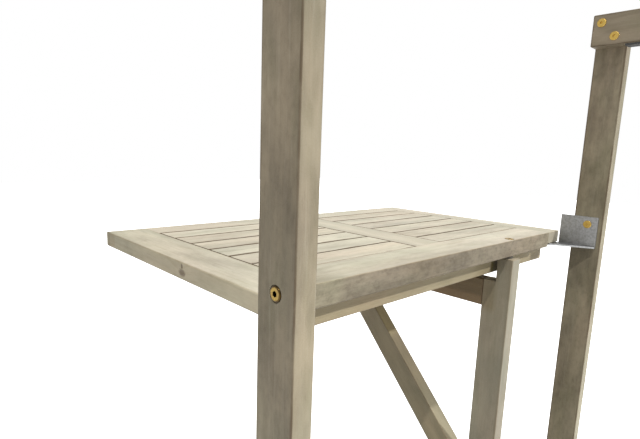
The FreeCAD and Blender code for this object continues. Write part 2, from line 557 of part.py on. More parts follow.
# ---- brass bolts ------------------------------------------------------------------------
def brass_bolt(label, shank, x, y, z, rot, rad="pin_rad"):
    """Low domed head with a hex socket on a plain shank.  The head's underside is at its own
    origin and the shank runs down its own -Z."""
    b = doc.addObject("PartDesign::Body", label)
    b.Label = label
    sk = sketch_on(b, label + "_profile", "XZ_Plane")
    R, T, r, L = val("head_rad"), val("head_th"), val(rad), val(shank)
    con = Sketcher.Constraint
    p = [V(0, -L, 0), V(r, -L, 0), V(r, 0, 0), V(R, 0, 0), V(R, 0.45 * T, 0), V(R - 1.4, T, 0), V(0, T, 0)]
    segs = []
    for i in range(6):
        if i == 4:
            mid = V(R - 0.45, 0.86 * T, 0)
            segs.append(sk.addGeometry(Part.Arc(p[4], mid, p[5]), False))
        else:
            segs.append(sk.addGeometry(Part.LineSegment(p[i], p[i + 1]), False))
    segs.append(sk.addGeometry(Part.LineSegment(p[6], p[0]), False))
    arc_start_first = (sk.Geometry[4].StartPoint - p[4]).Length < 1e-6
    a1, a2 = (1, 2) if arc_start_first else (2, 1)
    ends = [(1, 2)] * 7
    ends[4] = (a1, a2)
    for i in range(7):
        j = (i + 1) % 7
        sk.addConstraint(con("Coincident", i, ends[i][1], j, ends[j][0]))
    sk.addConstraint(con("Horizontal", 0))
    sk.addConstraint(con("Vertical", 1))
    sk.addConstraint(con("Horizontal", 2))
    sk.addConstraint(con("Vertical", 3))
    sk.addConstraint(con("Horizontal", 5))
    sk.addConstraint(con("PointOnObject", 0, 1, -2))
    sk.addConstraint(con("PointOnObject", 6, 1, -2))
    sk.addConstraint(con("PointOnObject", 2, 1, -1))
    for nm, kind, g, pt, v, e in (("shank", "DistanceY", 0, 1, L, shank),):
        i = sk.addConstraint(con("DistanceY", g, pt, -1, 1, v))
        sk.renameConstraint(i, nm)
        sk.setExpression("Constraints." + nm, ex(e))
    i = sk.addConstraint(con("DistanceX", -1, 1, 1, 1, r))
    sk.renameConstraint(i, "radius")
    sk.setExpression("Constraints.radius", ex(rad))
    i = sk.addConstraint(con("DistanceX", -1, 1, 3, 1, R))
    sk.renameConstraint(i, "head")
    sk.setExpression("Constraints.head", ex("head_rad"))
    i = sk.addConstraint(con("DistanceY", -1, 1, 5, 2, T))
    sk.renameConstraint(i, "thick")
    sk.setExpression("Constraints.thick", ex("head_th"))
    i = sk.addConstraint(con("DistanceY", -1, 1, 3, 2, 0.45 * T))
    sk.renameConstraint(i, "rim")
    sk.setExpression("Constraints.rim", ex("0.45*head_th"))
    i = sk.addConstraint(con("DistanceX", -1, 1, 5, 1, R - 1.4))
    sk.renameConstraint(i, "crown")
    sk.setExpression("Constraints.crown", ex("head_rad-1.4"))
    rv = b.newObject("PartDesign::Revolution", label + "_turned")
    rv.Profile = sk
    rv.ReferenceAxis = (sk, ["V_Axis"])
    rv.Angle = 360.0
    doc.recompute()
    want = math.pi * r * r * L + 0.85 * math.pi * R * R * T
    if abs(b.Shape.Volume - want) > 0.15 * want:
        raise RuntimeError("%s has volume %.1f, expected about %.1f" % (label, b.Shape.Volume, want))
    hx = sketch_on(b, label + "_hex", "XY_Plane", "0", "0", "head_th")
    c = D["hex_af"] / 2 / math.cos(math.pi / 6)
    pts = [V(c * math.cos(math.radians(60 * k)), c * math.sin(math.radians(60 * k)), 0) for k in range(6)]
    for k in range(6):
        hx.addGeometry(Part.LineSegment(pts[k], pts[(k + 1) % 6]), False)
    hx.addGeometry(Part.Circle(V(0, 0, 0), V(0, 0, 1), c), True)
    for k in range(6):
        hx.addConstraint(con("Coincident", k, 2, (k + 1) % 6, 1))
        hx.addConstraint(con("PointOnObject", k, 1, 6))
    for k in range(5):
        hx.addConstraint(con("Equal", k, k + 1))
    hx.addConstraint(con("Coincident", 6, 3, -1, 1))
    hx.addConstraint(con("PointOnObject", 0, 1, -1))
    i = hx.addConstraint(con("Radius", 6, c))
    hx.renameConstraint(i, "corner")
    hx.setExpression("Constraints.corner", ex("hex_af/1.7320508"))
    pocket(b, hx, label + "_socket", "2*hex_dep*0.5", 20)
    place(b, x, y, z, rot)
    keep(b, label)
    return b


ROT_L = FreeCAD.Rotation(V(0, 1, 0), -90)    # own +Z to -X
ROT_R = FreeCAD.Rotation(V(0, 1, 0), 90)     # own +Z to +X
ROT_D = FreeCAD.Rotation(V(1, 0, 0), 180)    # own +Z to -Z
brass_bolt("table_bolt_left", "post_th-seat_dep", "-post_out+seat_dep", "-tbolt_back", "tbolt_up", ROT_L)
brass_bolt("table_bolt_right", "post_th-seat_dep", "top_len+post_out-seat_dep", "-tbolt_back", "tbolt_up", ROT_R)
brass_bolt("gate_pivot_bolt_top", "near_th-seat_dep+5.9+bush_len-4", "piv_x", "piv_y", "-seat_dep", None)
brass_bolt("gate_pivot_bolt_bottom", "low_th-seat_dep+3+bush_len-4", "piv_x", "piv_y", "-(low_top+low_th)+seat_dep", ROT_D)


# ---- turned pieces and fastener groups ------------------------------------------------------
def ring(r_out, r_in, h, base, axis=V(0, 0, 1)):
    return Part.makeCylinder(r_out, h, base, axis).cut(Part.makeCylinder(r_in, h, base, axis))


def hex_prism(af, h, base, axis):
    c = af / 2 / math.cos(math.pi / 6)
    rot = FreeCAD.Rotation(V(0, 0, 1), axis)
    pts = [base + rot.multVec(V(c * math.cos(math.radians(60 * k)), c * math.sin(math.radians(60 * k)), 0))
           for k in range(7)]
    pts[6] = pts[0]
    return Part.Face(Part.makePolygon(pts)).extrude(axis * h)


def head(base, axis):
    """Low cylindrical head with a rounded rim and a hex socket, rising from base along axis."""
    R, T = D["head_rad"], D["head_th"]
    h = Part.makeCylinder(R, T, base, axis)
    rim = [e for e in h.Edges if hasattr(e.Curve, "Radius") and (e.Curve.Center - (base + axis * T)).Length < 1e-6]
    h = h.makeFillet(0.8, rim)
    return h


def group(label, shapes):
    o = doc.addObject("Part::Feature", label)
    o.Shape = Part.makeCompound(shapes)
    o.Placement = FreeCAD.Placement(V(-D["top_len"] / 2, -D["frame_y"], 0), FreeCAD.Rotation())
    keep(o, label)
    return o


def pt(x, y, z):
    return V(val(x), val(y), val(z))


# spacer washers of the gate
PIV = (D["piv_x"], D["piv_y"])
rr = D["pin_rad"] + D["run_fit"]
group("gate_spacer_top", [ring(8.5, rr, D["leg_top"] - D["near_th"] - 0.4, V(PIV[0], PIV[1], -D["leg_top"] + 0.4))])
group("gate_spacer_bottom", [ring(9.0, rr, D["low_top"] - D["leg_bot"] - 0.4, V(PIV[0], PIV[1], -D["low_top"]))])
# bushes let into the leg's ends; the pivot bolts turn in them
group("gate_bush_top", [ring(D["bush_rad"], rr, D["bush_len"], V(PIV[0], PIV[1], -D["leg_top"] - D["bush_len"]))])
group("gate_bush_bottom", [ring(D["bush_rad"], rr, D["bush_len"], V(PIV[0], PIV[1], -D["leg_bot"]))])

# hook bolts (from the inner side through the arm) and cap nuts (from the outer side)
bolts, nuts, tnuts, lbolts, lnuts, ldow = [], [], [], [], [], []
for side in ("left", "right"):
    mx = POST[side][3]
    inn = V(1, 0, 0) if side == "left" else V(-1, 0, 0)       # towards the table's middle
    spots = [("-(post_back+14)", "post_top-14"), ("-(post_dep-14)", "post_top-arm_high+14"),
             ("-(post_dep+jaw+14)", "post_top-14"), ("-(post_dep+jaw+tongue_dep-14)", "post_top-arm_high+14")]
    for hy, hz in spots:
        face = pt(mx("post_th-post_out+arm_th"), hy, hz)      # inner face of the arm
        L = D["arm_th"] + 14.0
        b = Part.makeCylinder(D["bolt_rad"], L, face, inn * -1).fuse(head(face, inn))
        b = b.cut(hex_prism(4.0, 3.0, face + inn * (D["head_th"] - 2.5), inn))
        bolts.append(b)
        outer = pt(mx("-post_out+seat_dep"), hy, hz)
        n = Part.makeCylinder(D["sleeve_rad"], D["sleeve_len"], outer, inn).fuse(head(outer, inn * -1))
        n = n.cut(Part.makeCylinder(D["bolt_rad"] + D["run_fit"], D["sleeve_len"] - 1.0, outer + inn * 1.0, inn))
        n = n.cut(hex_prism(4.0, 3.0, outer - inn * (D["head_th"] + 0.5), inn))
        nuts.append(n)
    # screw that holds the bracket to the table bolt's barrel: a short cap screw on the inner side
    base = pt(mx("post_th-post_out+plate_th"), "-tbolt_back", "tbolt_up")
    c = Part.makeCylinder(D["bolt_rad"], D["plate_th"], base, inn * -1).fuse(head(base, inn))
    c = c.cut(hex_prism(4.0, 3.0, base + inn * (D["head_th"] - 1.6), inn))
    tnuts.append(c)
    # lower rail bolt, barrel nut, dowel
    lz = "-(low_top+low_th/2)"
    outer = pt(mx("-post_out+seat_dep"), "-low_bolt", lz)
    b = Part.makeCylinder(D["bolt_rad"], D["post_th"] - D["seat_dep"] + 28.5, outer, inn).fuse(head(outer, inn * -1))
    b = b.cut(hex_prism(4.0, 3.0, outer - inn * (D["head_th"] + 0.5), inn))
    lbolts.append(b)
    base = pt(mx("post_th-post_out+34"), "-low_bolt", "-(low_top+low_th)+2")
    n = Part.makeCylinder(5.0, D["low_th"] - 4, base, V(0, 0, 1))
    n = n.cut(Part.makeCylinder(D["bolt_rad"] + D["run_fit"], 8, pt(mx("post_th-post_out+28.5"), "-low_bolt", lz), inn))
    lnuts.append(n)
    base = pt(mx("post_th-post_out-15"), "-low_dowel", lz)
    ldow.append(Part.makeCylinder(D["dowel_rad"], 40, base, inn))
group("hook_bolts", bolts)
group("hook_cap_nuts", nuts)
group("table_bolt_screws", tnuts)
group("lower_rail_bolts", lbolts)
group("lower_rail_barrel_nuts", lnuts)
group("lower_rail_dowels", ldow)

# gate dowels
dws = []
for a, y, z in DOW_ARM + DOW_BR1 + DOW_BR2:
    ax = V(0, 1, 0) if a == "y" else V(0, 0, 1)
    dws.append(Part.makeCylinder(D["dowel_rad"], 2 * D["dowel_half"], pt("piv_x", y, z) - ax * D["dowel_half"], ax))
group("gate_dowels", dws)

# screws under the steel brackets, driven up into the end rails
scr = []
for side in ("left", "right"):
    for X, hy in BR[side]:
        base = pt(X, hy, "-rail_th-plate_th")
        s1 = Part.makeCylinder(D["screw_rad"], D["plate_th"] + 13.5, base, V(0, 0, 1))
        s2 = Part.makeCylinder(D["screw_head"], 1.6, base - V(0, 0, 1.6), V(0, 0, 1))
        s2 = s2.makeFillet(0.7, [e for e in s2.Edges if abs(e.BoundBox.ZMax - (base.z - 1.6)) < 1e-6])
        scr.append(s1.fuse(s2))
group("bracket_screws", scr)

# screws that hold the underframe, let into counterbored holes and driven up into the rails
under = []


def wood_screw(board, rail, x, y, low, hi, into):
    """A screw up through a member whose underside is at low and whose top is at hi."""
    deep = "(%s)-(%s)" % (hi, low)
    board.cut_hole("z", x, y, "((%s)+(%s))/2" % (low, hi), "screw_rad+run_fit", deep + "+2")
    board.cut_hole("z", x, y, low, "screw_head+0.3", "2*4")
    rail.cut_hole("z", x, y, "(%s)+5" % hi, "screw_rad+run_fit", "2*6")
    base = pt(x, y, "(%s)+4" % low)
    top = val(hi) + into
    a = Part.makeCylinder(D["screw_rad"], top - base.z, base, V(0, 0, 1))
    c = Part.makeCylinder(D["screw_head"], 2.2, base - V(0, 0, 2.2), V(0, 0, 1))
    under.append(a.fuse(c))


for x in ("end_wid+60", "top_len/2-30", "top_len-right_wid-60"):
    wood_screw(ap_n, near, x, "apron_set+apron_th/2", "-apron_low", "-near_th", 10.0)
    wood_screw(ap_f, far, x, "top_dep-far_set-apron_th/2", "-far_low", "-rail_th", 10.0)
for b, rail, x in ((bat_l, end_l, "end_wid-batten_wid/2"), (bat_r, end_r, "top_len-right_wid+batten_wid/2")):
    for y in ("100", "top_dep-100"):
        wood_screw(b, rail, x, y, "-batten_low", "-rail_th", 10.0)
for y in ("120", "top_dep-120"):
    wood_screw(bat_m, cross, "cross_left+cross_wid/2", y, "-batten_low", "-rail_th", 10.0)
group("underframe_screws", under)

doc.recompute()

# ---- checks and files ---------------------------------------------------------------------
bad = []
for o in doc.Objects:
    st = [s for s in o.State if s in ("Invalid", "Error")]
    if st:
        bad.append("%s: %s" % (o.Name, st))
for o in SUBPARTS:
    s = o.Shape
    if s.isNull() or not s.isValid() or not s.Solids:
        bad.append("%s: shape is null, not valid or has no solid" % o.Label)
if bad:
    raise RuntimeError("; ".join(bad))
labels = [o.Label for o in SUBPARTS]
if len(set(labels)) != len(labels):
    raise RuntimeError("two sub-parts share a label")
for o in SUBPARTS:
    o.Shape.exportStep("parts/%s.step" % o.Label)
box = FreeCAD.BoundBox()
for o in SUBPARTS:
    box.add(o.Shape.BoundBox)
print("sub-parts:", len(SUBPARTS), "solids:", sum(len(o.Shape.Solids) for o in SUBPARTS))
print("box: X %.2f..%.2f Y %.2f..%.2f Z %.2f..%.2f" % (box.XMin, box.XMax, box.YMin, box.YMax, box.ZMin, box.ZMax))
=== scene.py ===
import math
import bpy
from mathutils import Matrix, Vector


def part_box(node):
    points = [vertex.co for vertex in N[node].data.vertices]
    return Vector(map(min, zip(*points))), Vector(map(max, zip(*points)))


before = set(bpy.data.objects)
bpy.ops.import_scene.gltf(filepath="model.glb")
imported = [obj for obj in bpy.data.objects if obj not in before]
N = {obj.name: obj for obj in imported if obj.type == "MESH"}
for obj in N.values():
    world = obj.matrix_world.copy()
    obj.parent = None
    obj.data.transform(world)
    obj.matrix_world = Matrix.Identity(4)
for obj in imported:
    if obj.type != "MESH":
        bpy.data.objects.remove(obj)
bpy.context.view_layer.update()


# ------------------------------------------------------------------ node helpers
class Tree:
    """Small wrapper that adds nodes to a material and links them."""

    def __init__(self, name):
        self.mat = bpy.data.materials.new(name)
        self.mat.use_nodes = True
        self.nt = self.mat.node_tree
        self.nt.nodes.clear()
        self.out = self.nt.nodes.new("ShaderNodeOutputMaterial")
        self.bsdf = self.nt.nodes.new("ShaderNodeBsdfPrincipled")
        self.nt.links.new(self.bsdf.outputs[0], self.out.inputs[0])

    def link(self, a, b):
        self.nt.links.new(a, b)

    def put(self, sock, v):
        if hasattr(v, "is_output") or hasattr(v, "links"):
            self.nt.links.new(v, sock)
        else:
            sock.default_value = v

    def math(self, op, a, b=None, c=None, clamp=False):
        n = self.nt.nodes.new("ShaderNodeMath")
        n.operation = op
        n.use_clamp = clamp
        self.put(n.inputs[0], a)
        if b is not None:
            self.put(n.inputs[1], b)
        if c is not None:
            self.put(n.inputs[2], c)
        return n.outputs[0]

    def coords(self):
        if not hasattr(self, "_tc"):
            self._tc = self.nt.nodes.new("ShaderNodeTexCoord")
        return self._tc.outputs["Object"]

    def normal(self):
        self.coords()
        return self._tc.outputs["Normal"]

    def split(self, v):
        n = self.nt.nodes.new("ShaderNodeSeparateXYZ")
        self.link(v, n.inputs[0])
        return n.outputs[0], n.outputs[1], n.outputs[2]

    def join(self, x, y, z):
        n = self.nt.nodes.new("ShaderNodeCombineXYZ")
        for s, v in zip(n.inputs, (x, y, z)):
            self.put(s, v)
        return n.outputs[0]

    def noise(self, vec, scale, detail=3.0, rough=0.5, dist=0.0):
        n = self.nt.nodes.new("ShaderNodeTexNoise")
        n.noise_dimensions = "3D"
        self.link(vec, n.inputs["Vector"])
        n.inputs["Scale"].default_value = scale
        n.inputs["Detail"].default_value = detail
        n.inputs["Roughness"].default_value = rough
        n.inputs["Distortion"].default_value = dist
        return n.outputs["Fac"]

    def ramp(self, fac, stops, interp="LINEAR"):
        n = self.nt.nodes.new("ShaderNodeValToRGB")
        n.color_ramp.interpolation = interp
        e = n.color_ramp.elements
        while len(e) < len(stops):
            e.new(0.5)
        for el, (p, c) in zip(e, stops):
            el.position = p
            el.color = (c[0], c[1], c[2], 1.0) if hasattr(c, "__len__") else (c, c, c, 1.0)
        self.link(fac, n.inputs[0])
        return n.outputs[0]

    def remap(self, v, a, b, lo, hi, smooth=False):
        n = self.nt.nodes.new("ShaderNodeMapRange")
        n.interpolation_type = "SMOOTHSTEP" if smooth else "LINEAR"
        n.clamp = True
        self.link(v, n.inputs["Value"])
        n.inputs["From Min"].default_value = a
        n.inputs["From Max"].default_value = b
        n.inputs["To Min"].default_value = lo
        n.inputs["To Max"].default_value = hi
        return n.outputs["Result"]

    def mix(self, fac, a, b, blend="MIX"):
        n = self.nt.nodes.new("ShaderNodeMix")
        n.data_type = "RGBA"
        n.blend_type = blend
        n.clamp_result = False
        self.put(n.inputs[0], fac)
        self.put(n.inputs[6], a if hasattr(a, "links") else (a[0], a[1], a[2], 1.0))
        self.put(n.inputs[7], b if hasattr(b, "links") else (b[0], b[1], b[2], 1.0))
        return n.outputs[2]

    def bump(self, height, strength, distance, normal=None):
        n = self.nt.nodes.new("ShaderNodeBump")
        self.link(height, n.inputs["Height"])
        n.inputs["Strength"].default_value = strength
        n.inputs["Distance"].default_value = distance
        if normal is not None:
            self.link(normal, n.inputs["Normal"])
        return n.outputs[0]


def lin(r, g, b):
    """sRGB 0..255 to linear."""
    out = []
    for c in (r, g, b):
        c = c / 255.0
        out.append(c / 12.92 if c <= 0.04045 else ((c + 0.055) / 1.055) ** 2.4)
    return tuple(out)


# ------------------------------------------------------------------ washed wood
def wood(name, node, axis, seed, wash, raw=(0.23, 0.155, 0.085), contrast=1.0, wear=0.6, knots=(), faces=(),
         tint=(0.0, 0.0), rough=0.60, streak=1.0, blotch=1.0, speck=(), arris=0.0016, frame_of=None, glints=0.0, marks=(),
         arris_tone=1.0, knot_mix=0.85, edge_faces=()):
    """Grey-washed hardwood with its grain along one axis of the frame.

    wash   colour of the washed surface     raw    colour of the bare wood in pores and on worn edges
    knots  (x, y, z, radius) in metres      faces  (axis index, sign, factor colour) per-face tints, which on some pieces paint light and shade onto one side
    speck  (axis index, sign, amount): faces where the wash has come off in small brown blotches
    marks  (low corner, high corner, factor colour, softness, (axis index, sign)) of local tones, painted shadows and
    painted light among them; None leaves a
           side open, and the last one, where given, keeps the tone to the face that looks that way
    edge_faces  (axis index, sign, factor): how much of the wear along the edges shows on that face
    frame_of  (origin, unit along, unit across, half along, half across) of a piece that lies askew in a plane of
    constant X
    """
    t = Tree(name)
    lo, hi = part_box(node)
    p = t.coords()
    px, py, pz = t.split(p)
    if frame_of:
        o, ua, uc, ha, hc = frame_of
        qy, qz = t.math("SUBTRACT", py, o[0]), t.math("SUBTRACT", pz, o[1])
        al = t.math("ADD", t.math("MULTIPLY", qy, ua[0]), t.math("MULTIPLY", qz, ua[1]))
        ac = t.math("ADD", t.math("MULTIPLY", qy, uc[0]), t.math("MULTIPLY", qz, uc[1]))
        comp = [al, ac, px]
        mids = [0.0, 0.0, (lo[0] + hi[0]) / 2]
        halves = [ha, hc, (hi[0] - lo[0]) / 2]
    else:
        k = "xyz".index(axis)
        order = [k, (k + 1) % 3, (k + 2) % 3]
        comp = [(px, py, pz)[i] for i in order]
        mids = [(lo[i] + hi[i]) / 2 for i in order]
        halves = [(hi[i] - lo[i]) / 2 for i in order]
    off = [((seed * 7.31) % 5.0) + 1.3, ((seed * 3.77) % 3.0) + 0.7, ((seed * 5.13) % 4.0) + 0.9]
    u = t.math("ADD", comp[0], off[0])
    v = t.math("ADD", comp[1], off[1])
    w = t.math("ADD", comp[2], off[2])

    # slow wander of the grain across the board
    wan1 = t.math("SUBTRACT", t.noise(t.join(t.math("MULTIPLY", u, 0.20), v, w), 9.0, 2.0), 0.5)
    wan2 = t.math("SUBTRACT", t.noise(t.join(t.math("MULTIPLY", u, 0.16), w, v), 7.0, 2.0), 0.5)
    v2 = t.math("MULTIPLY_ADD", wan1, 0.026, v)
    w2 = t.math("MULTIPLY_ADD", wan2, 0.020, w)

    # knots push the grain aside
    kmask = None
    for kn in knots:
        kr = kn[3]
        st_ = kn[4] if len(kn) > 4 else (1.0, 1.0, 1.0)
        dd = None
        for s_, c_, f_ in zip((px, py, pz), kn[:3], st_):
            e_ = t.math("MULTIPLY", t.math("SUBTRACT", s_, c_), f_)
            e_ = t.math("MULTIPLY", e_, e_)
            dd = e_ if dd is None else t.math("ADD", dd, e_)
        d = t.math("SQRT", dd)
        dn = t.math("MULTIPLY_ADD", t.math("SUBTRACT", t.noise(p, 420.0, 3.0), 0.5), kr * 0.8, d)
        m = t.remap(dn, kr * 0.45, kr * 1.15, 1.0, 0.0, True)
        kmask = m if kmask is None else t.math("MAXIMUM", kmask, m)
        v2 = t.math("ADD", v2, t.remap(d, 0.0, kr * 4.5, kr * 1.2, 0.0, True))

    # growth rings about a pith that lies outside the board
    pv = (seed * 0.618 % 1.0 - 0.5) * 0.10
    pw = -0.045 - (seed * 0.37 % 1.0) * 0.06
    rv = t.math("SUBTRACT", v2, mids[1] + off[1] + pv)
    rw = t.math("SUBTRACT", w2, mids[2] + off[2] + pw)
    rad = t.math("SQRT", t.math("ADD", t.math("MULTIPLY", rv, rv), t.math("MULTIPLY", rw, rw)))
    ringn = t.math("MULTIPLY_ADD", t.noise(t.join(t.math("MULTIPLY", u, 0.05), v2, w2), 60.0, 2.0), 0.0035, rad)
    ring = t.math("SINE", t.math("MULTIPLY", ringn, 2 * math.pi / 0.0062))
    ring = t.remap(ring, -0.2, 1.0, 0.0, 1.0, True)

    # broad bands, streaks, fibres, pores
    band = t.noise(t.join(t.math("MULTIPLY", u, 0.10), v2, w2), 26.0, 2.0, 0.5)
    st = t.noise(t.join(t.math("MULTIPLY", u, 0.040), v2, w2), 95.0, 3.0, 0.55)
    fib = t.noise(t.join(t.math("MULTIPLY", u, 0.020), v2, w2), 520.0, 3.0, 0.6)
    por = t.noise(t.join(t.math("MULTIPLY", u, 0.045), v2, w2), 980.0, 2.0, 0.5)
    pore = t.math("MULTIPLY", t.remap(por, 0.62, 0.70, 0.0, 1.0, True), t.remap(st, 0.42, 0.62, 0.25, 1.0, True))
    cloud = t.noise(t.join(t.math("MULTIPLY", u, 0.40), v, w), 24.0, 4.0, 0.6)
    hue = t.noise(t.join(t.math("MULTIPLY", u, 0.35), v, w), 13.0, 2.0, 0.5)
    mott = t.noise(t.join(t.math("MULTIPLY", u, 0.60), v, w), 170.0, 4.0, 0.62)
    patch = t.noise(t.join(t.math("MULTIPLY", u, 0.30), v2, w2), 42.0, 3.0, 0.55, 0.4)
    grit = t.noise(p, 1100.0, 2.0, 0.6)

    # worn arrises: the middle one of the three distances to the board's planes
    ds = []
    for s_, c_, h_ in zip(comp, mids, halves):
        ds.append(t.math("SUBTRACT", h_, t.math("ABSOLUTE", t.math("SUBTRACT", s_, c_))))
    mn = t.math("MINIMUM", ds[0], ds[1])
    mxx = t.math("MAXIMUM", ds[0], ds[1])
    mid = t.math("MAXIMUM", mn, t.math("MINIMUM", mxx, ds[2]))
    eb = t.noise(t.join(t.math("MULTIPLY", u, 0.18), v, w), 110.0, 4.0, 0.6)
    emid = t.math("MULTIPLY_ADD", t.math("SUBTRACT", eb, 0.5), -arris * 1.5, mid)
    edge = t.remap(emid, arris * 0.35, arris * 1.35, 1.0, 0.0, True)
    edge = t.math("MULTIPLY", edge, t.remap(eb, 0.34, 0.62, 0.25, 1.0, True))

    # colour
    c = contrast
    col = t.mix(t.remap(band, 0.30, 0.70, 0.0, 1.0), tuple(x * (1 - 0.10 * c) for x in wash),
                tuple(min(1.0, x * (1 + 0.07 * c)) for x in wash))
    pink = (1.020 + tint[0], 0.988, 0.980 + tint[1])
    green = (0.978 + tint[0], 1.006, 0.990 + tint[1])
    col = t.mix(1.0, col, t.mix(t.remap(hue, 0.36, 0.64, 0.0, 1.0, True), pink, green), "MULTIPLY")
    cl = 0.085 * blotch
    col = t.mix(1.0, col, t.ramp(cloud, [(0.28, 1.0 - cl * 1.5), (0.5, 1.0), (0.74, 1.0 + cl)]), "MULTIPLY")
    col = t.mix(1.0, col, t.ramp(patch, [(0.34, (1.0 - 0.10 * blotch, 1.0 - 0.095 * blotch, 1.0 - 0.12 * blotch)), (0.52, 1.0), (0.70, 1.0 + 0.035 * blotch)]), "MULTIPLY")
    col = t.mix(1.0, col, t.ramp(st, [(0.30, 1.0 - 0.085 * streak), (0.5, 1.0), (0.70, 1.0 + 0.05 * streak)]), "MULTIPLY")
    # rings, fibres and pores show through the wash as slightly darker, browner lines
    col = t.mix(t.math("MULTIPLY", ring, 0.055 * streak), col, raw)
    col = t.mix(t.remap(fib, 0.52, 0.80, 0.0, 0.20 * streak), col, raw)
    col = t.mix(t.math("MULTIPLY", pore, 0.30 * streak), col, tuple(x * 0.55 for x in raw))
    if glints:
        gl = t.noise(t.join(t.math("MULTIPLY", u, 0.030), v2, w2), 340.0, 2.0, 0.5)
        col = t.mix(t.remap(gl, 0.56, 0.70, 0.0, glints, True), col, (0.74, 0.70, 0.60))
    col = t.mix(t.remap(grit, 0.35, 0.75, 0.0, 0.06), col, (0.86, 0.83, 0.76))
    # per-face tints; on some pieces they are painted light and shade on one side
    for (ai, sign, f) in faces:
        nn = t.split(t.normal())[ai]
        m = t.remap(t.math("MULTIPLY", nn, float(sign)), 0.55, 0.85, 0.0, 1.0, True)
        col = t.mix(m, col, t.mix(1.0, col, f, "MULTIPLY"))
    for (ai, sign, amount) in speck:
        nn = t.split(t.normal())[ai]
        m = t.remap(t.math("MULTIPLY", nn, float(sign)), 0.55, 0.85, 0.0, 1.0, True)
        k1, k2 = 0.34 * amount, 0.16 * amount
        soft = t.ramp(mott, [(0.30, (1 + k2, 1 + k2, 1 + k2)), (0.50, 1.0), (0.70, (1 - k1 * 0.92, 1 - k1, 1 - k1 * 1.08))])
        wide = t.ramp(cloud, [(0.32, (1 - k1 * 0.80, 1 - k1 * 0.90, 1 - k1)), (0.50, 1.0), (0.68, 1 + k2)])
        col = t.mix(m, col, t.mix(1.0, t.mix(1.0, col, soft, "MULTIPLY"), wide, "MULTIPLY"))
    for mk in marks:
        # a local tone inside a box with soft sides; some marks are painted shadows and painted light
        blo, bhi, f = mk[:3]
        sf = mk[3] if len(mk) > 3 else 0.0016
        m = None
        for s_, l_, h_ in zip((px, py, pz), blo, bhi):
            if l_ is not None:
                q = t.remap(s_, l_, l_ + sf, 0.0, 1.0, True)
                m = q if m is None else t.math("MULTIPLY", m, q)
            if h_ is not None:
                q = t.remap(s_, h_ - sf, h_, 1.0, 0.0, True)
                m = q if m is None else t.math("MULTIPLY", m, q)
        if len(mk) > 4:
            q = t.remap(t.math("MULTIPLY", t.split(t.normal())[mk[4][0]], float(mk[4][1])), 0.35, 0.60, 0.0, 1.0, True)
            m = q if m is None else t.math("MULTIPLY", m, q)
        col = t.mix(m, col, t.mix(1.0, col, f, "MULTIPLY"))
    for (ai, sign, f) in edge_faces:
        nn = t.split(t.normal())[ai]
        m = t.remap(t.math("MULTIPLY", nn, float(sign)), 0.80, 0.97, 1.0, f, True)
        edge = t.math("MULTIPLY", edge, m)
    col = t.mix(t.math("MULTIPLY", edge, wear), col, tuple(x * arris_tone for x in raw))
    if kmask is not None:
        col = t.mix(t.math("MULTIPLY", kmask, knot_mix), col, tuple(x * 0.75 for x in raw))
    t.link(col, t.bsdf.inputs["Base Color"])
    t.link(t.remap(fib, 0.3, 0.8, rough - 0.06, rough + 0.14), t.bsdf.inputs["Roughness"])
    t.bsdf.inputs["Specular IOR Level"].default_value = 0.30
    h = t.math("MULTIPLY_ADD", fib, -0.60, 1.0)
    h = t.math("MULTIPLY_ADD", ring, -0.20, h)
    h = t.math("MULTIPLY_ADD", pore, -0.50, h)
    t.link(t.bump(h, 0.50, 0.00032), t.bsdf.inputs["Normal"])
    return t.mat


# ------------------------------------------------------------------ metals, rubber, plastic
def brass(name, heads=(), tone=1.0, rim_tarnish_and_shade=0.92):
    """Lightly tarnished brass, with painted shade in the sockets and round the rims of the heads.  heads: (axis index,
    sign, top position, centre, radius) of each socket head.
    """
    t = Tree(name)
    p = t.coords()
    xyz = t.split(p)
    n1 = t.noise(p, 420.0, 4.0, 0.6)
    n2 = t.noise(p, 1500.0, 2.0, 0.5)
    col = t.mix(t.remap(n1, 0.38, 0.68, 0.0, 1.0), tuple(c * tone for c in (0.245, 0.172, 0.042)), tuple(c * tone for c in (0.190, 0.118, 0.034)))
    col = t.mix(t.remap(n2, 0.55, 0.8, 0.0, 0.5), col, (0.26, 0.16, 0.05))
    socket_and_rim_shade = None
    for (ai, sign, top, c, rad) in heads:
        deep = t.math("MULTIPLY", t.math("SUBTRACT", top, xyz[ai]), float(sign))
        o = [i for i in range(3) if i != ai]
        a = t.math("SUBTRACT", xyz[o[0]], c[o[0]])
        b = t.math("SUBTRACT", xyz[o[1]], c[o[1]])
        r = t.math("SQRT", t.math("ADD", t.math("MULTIPLY", a, a), t.math("MULTIPLY", b, b)))
        rn = t.math("MULTIPLY_ADD", t.math("SUBTRACT", n1, 0.5), 0.0012, r)
        # brown tarnish and painted shade towards the rim, painted near-black shade in the socket and under the head
        col = t.mix(t.remap(rn, rad - 0.0022, rad - 0.0010, 0.0, rim_tarnish_and_shade, True), col, (0.045, 0.026, 0.009))
        m = t.math("MULTIPLY", t.remap(deep, 0.00005, 0.0009, 0.0, 1.0), t.remap(r, 0.0031, 0.0034, 1.0, 0.0))
        rim = t.math("MULTIPLY", t.remap(deep, 0.0009, 0.0016, 0.0, 1.0), t.remap(r, rad - 0.0019, rad - 0.0009, 0.0, 0.9))
        m = t.math("MAXIMUM", m, rim)
        socket_and_rim_shade = m if socket_and_rim_shade is None else t.math("MAXIMUM", socket_and_rim_shade, m)
    # painted shade: near black in the sockets and under the rims of the heads
    if socket_and_rim_shade is not None:
        col = t.mix(socket_and_rim_shade, col, (0.020, 0.012, 0.005))
    t.link(col, t.bsdf.inputs["Base Color"])
    t.bsdf.inputs["Metallic"].default_value = 1.0
    t.link(t.remap(n1, 0.3, 0.7, 0.26, 0.44), t.bsdf.inputs["Roughness"])
    t.link(t.bump(n2, 0.25, 0.00008), t.bsdf.inputs["Normal"])
    return t.mat


